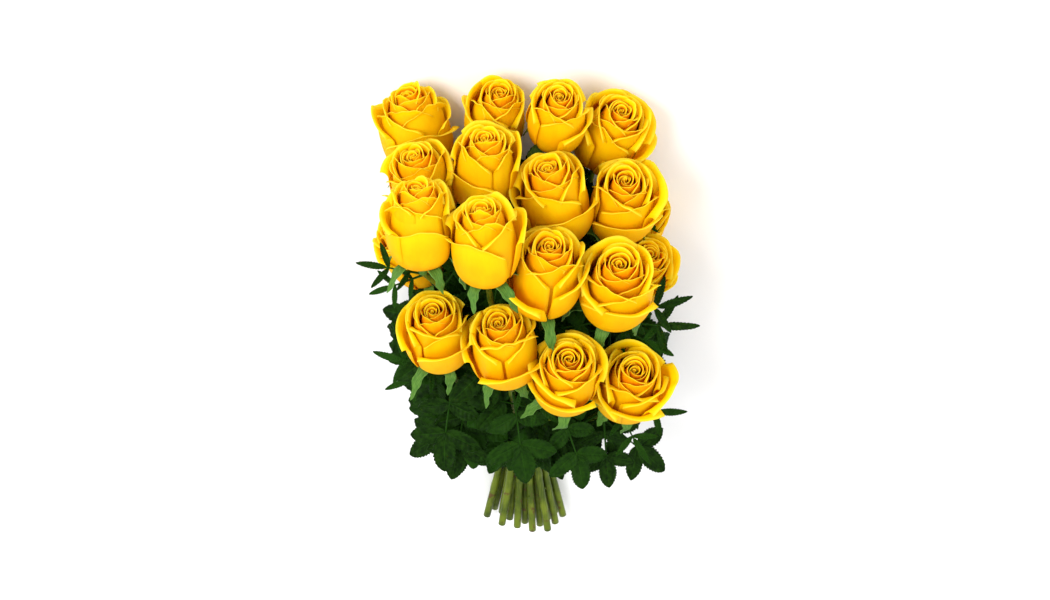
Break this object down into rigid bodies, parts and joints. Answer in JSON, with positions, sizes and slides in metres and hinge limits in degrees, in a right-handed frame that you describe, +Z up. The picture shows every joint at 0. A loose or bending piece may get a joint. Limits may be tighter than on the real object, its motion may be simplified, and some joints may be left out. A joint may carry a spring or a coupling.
{
  "type": "bunch of roses",
  "caption": "Tied bunch of long-stemmed cut roses with golden-yellow half-open blooms and dark leaves, lying on its side to dress a table, counter or shop display.",
  "frame": {"origin": "on the table, under the middle of the bunch's overall box", "axes": "+Y along the bunch from the cut stem ends to the flower heads, +Z up from the table, +X to the right when looking from the stem ends to the heads with +Z up"},
  "size_m": [0.2444, 0.4674, 0.1694],
  "materials": {
    "petals": "satin",
    "stems": "satin",
    "leaves": "satin",
    "tie": "matte"
  },
  "bodies": {
    "root": {"bloom_01": "petals", "bloom_02": "petals", "bloom_03": "petals", "bloom_04": "petals", "bloom_05": "petals", "bloom_06": "petals", "bloom_07": "petals", "bloom_08": "petals", "bloom_09": "petals", "bloom_10": "petals", "bloom_11": "petals", "bloom_12": "petals", "bloom_13": "petals", "bloom_14": "petals", "bloom_15": "petals", "bloom_16": "petals", "bloom_17": "petals", "bloom_18": "petals", "bloom_19": "petals", "stem_01": "stems", "stem_02": "stems", "stem_03": "stems", "stem_04": "stems", "stem_05": "stems", "stem_06": "stems", "stem_07": "stems", "stem_08": "stems", "stem_09": "stems", "stem_10": "stems", "stem_11": "stems", "stem_12": "stems", "stem_13": "stems", "stem_14": "stems", "stem_15": "stems", "stem_16": "stems", "stem_17": "stems", "stem_18": "stems", "stem_19": "stems", "leaf_01": "leaves", "leaf_02": "leaves", "leaf_03": "leaves", "leaf_04": "leaves", "leaf_05": "leaves", "leaf_06": "leaves", "leaf_07": "leaves", "leaf_08": "leaves", "leaf_09": "leaves", "leaf_10": "leaves", "leaf_11": "leaves", "leaf_12": "leaves", "leaf_13": "leaves", "leaf_14": "leaves", "leaf_15": "leaves", "leaf_16": "leaves", "leaf_17": "leaves", "leaf_18": "leaves", "leaf_19": "leaves", "leaf_20": "leaves", "leaf_21": "leaves", "stem_tie": "tie"}
  },
  "joints": []
}
